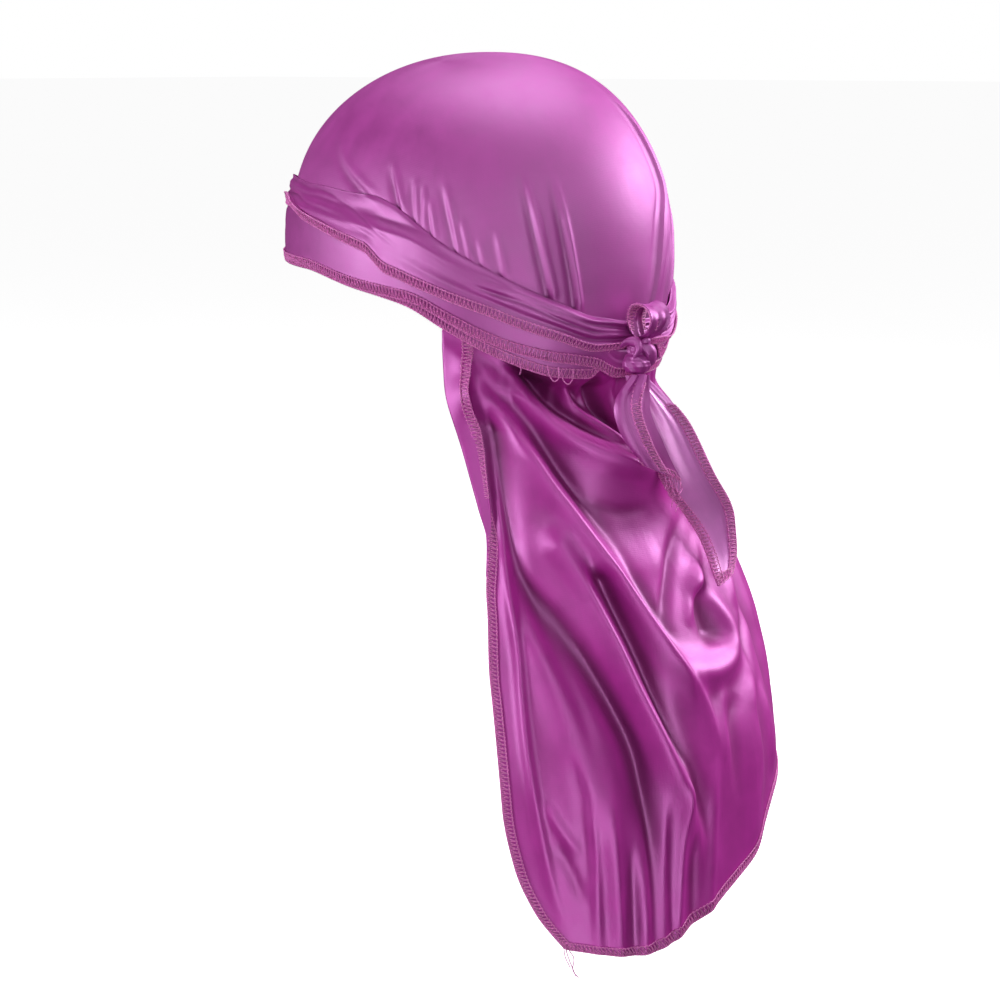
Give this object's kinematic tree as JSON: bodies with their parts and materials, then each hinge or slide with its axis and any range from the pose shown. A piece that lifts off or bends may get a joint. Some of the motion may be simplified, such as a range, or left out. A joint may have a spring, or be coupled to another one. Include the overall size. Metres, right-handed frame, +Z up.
{
  "type": "durag",
  "caption": "Tied satin durag: close crown with a centre seam, two long straps wound round the head and knotted at the back, and a cape over the neck and back.",
  "frame": {"origin": "middle of the head opening, at the level where the rim passes over the ears", "axes": "+Z up along the wearer's head, -Y the way the wearer faces, +X the wearer's left"},
  "size_m": [0.1912, 0.2522, 0.3961],
  "materials": {
    "satin": "purple polyester satin, smooth and glossy",
    "strap_satin": "purple polyester satin with overlocked edges"
  },
  "bodies": {
    "root": {"crown_left": "satin", "crown_right": "satin", "cape": "satin", "strap_left": "strap_satin", "strap_right": "strap_satin", "knot": "strap_satin", "knot_loop": "strap_satin", "tie_end_short": "strap_satin", "tie_end_long": "strap_satin"}
  },
  "joints": []
}
